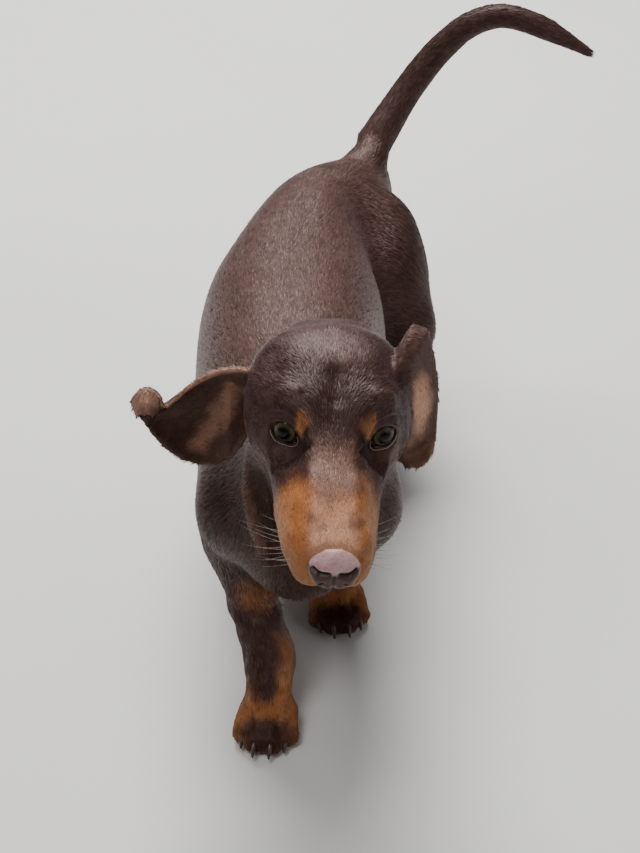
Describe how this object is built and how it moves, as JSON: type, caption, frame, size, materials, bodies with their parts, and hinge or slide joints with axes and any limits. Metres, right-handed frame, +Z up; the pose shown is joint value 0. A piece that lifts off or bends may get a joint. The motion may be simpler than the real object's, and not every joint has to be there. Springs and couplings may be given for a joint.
{
  "type": "dachshund",
  "caption": "Standard smooth-haired dachshund at life size, chocolate and tan, walking with its head lowered, ears flung out and tail raised.",
  "frame": {"origin": "on the floor under the middle of the dog's bounding box", "axes": "+Z up, the dog faces -Y, so its left side is +X"},
  "size_m": [0.333, 0.6519, 0.3328],
  "materials": {
    "coat_brown": "short glossy chocolate brown fur",
    "coat_tan": "short rust tan fur",
    "nose": "bare pinkish brown nose leather, slightly moist",
    "eye": "wet glossy eye with a hazel iris",
    "claw": "dark horn"
  },
  "bodies": {
    "root": {"eye_left": "eye", "eye_right": "eye", "lower_jaw": "coat_tan", "nose": "nose", "forepaw_right_claw_outer": "claw", "forepaw_right_claw_outer_middle": "claw", "forepaw_right_claw_inner_middle": "claw", "forepaw_right_claw_inner": "claw", "forepaw_left_claw_outer": "claw", "forepaw_left_claw_outer_middle": "claw", "forepaw_left_claw_inner_middle": "claw", "forepaw_left_claw_inner": "claw", "hindpaw_left_claw_outer": "claw", "hindpaw_left_claw_outer_middle": "claw", "hindpaw_left_claw_inner_middle": "claw", "hindpaw_left_claw_inner": "claw", "hindpaw_right_claw_outer": "claw", "hindpaw_right_claw_outer_middle": "claw", "hindpaw_right_claw_inner_middle": "claw", "hindpaw_right_claw_inner": "claw", "forepaw_right": "coat_tan", "forearm_right": "coat_brown", "hindpaw_right": "coat_tan", "hock_right": "coat_brown", "shank_right": "coat_brown", "thigh_right": "coat_brown", "forepaw_left": "coat_tan", "forearm_left": "coat_brown", "hindpaw_left": "coat_tan", "hock_left": "coat_brown", "shank_left": "coat_brown", "thigh_left": "coat_brown", "head": "coat_brown", "neck": "coat_brown", "chest": "coat_brown", "loin": "coat_brown", "rump": "coat_brown", "ear_right": "coat_brown", "ear_left": "coat_brown", "tail_base": "coat_brown", "tail_lower": "coat_brown", "tail_upper": "coat_brown", "tail_tip": "coat_brown"}
  },
  "joints": []
}
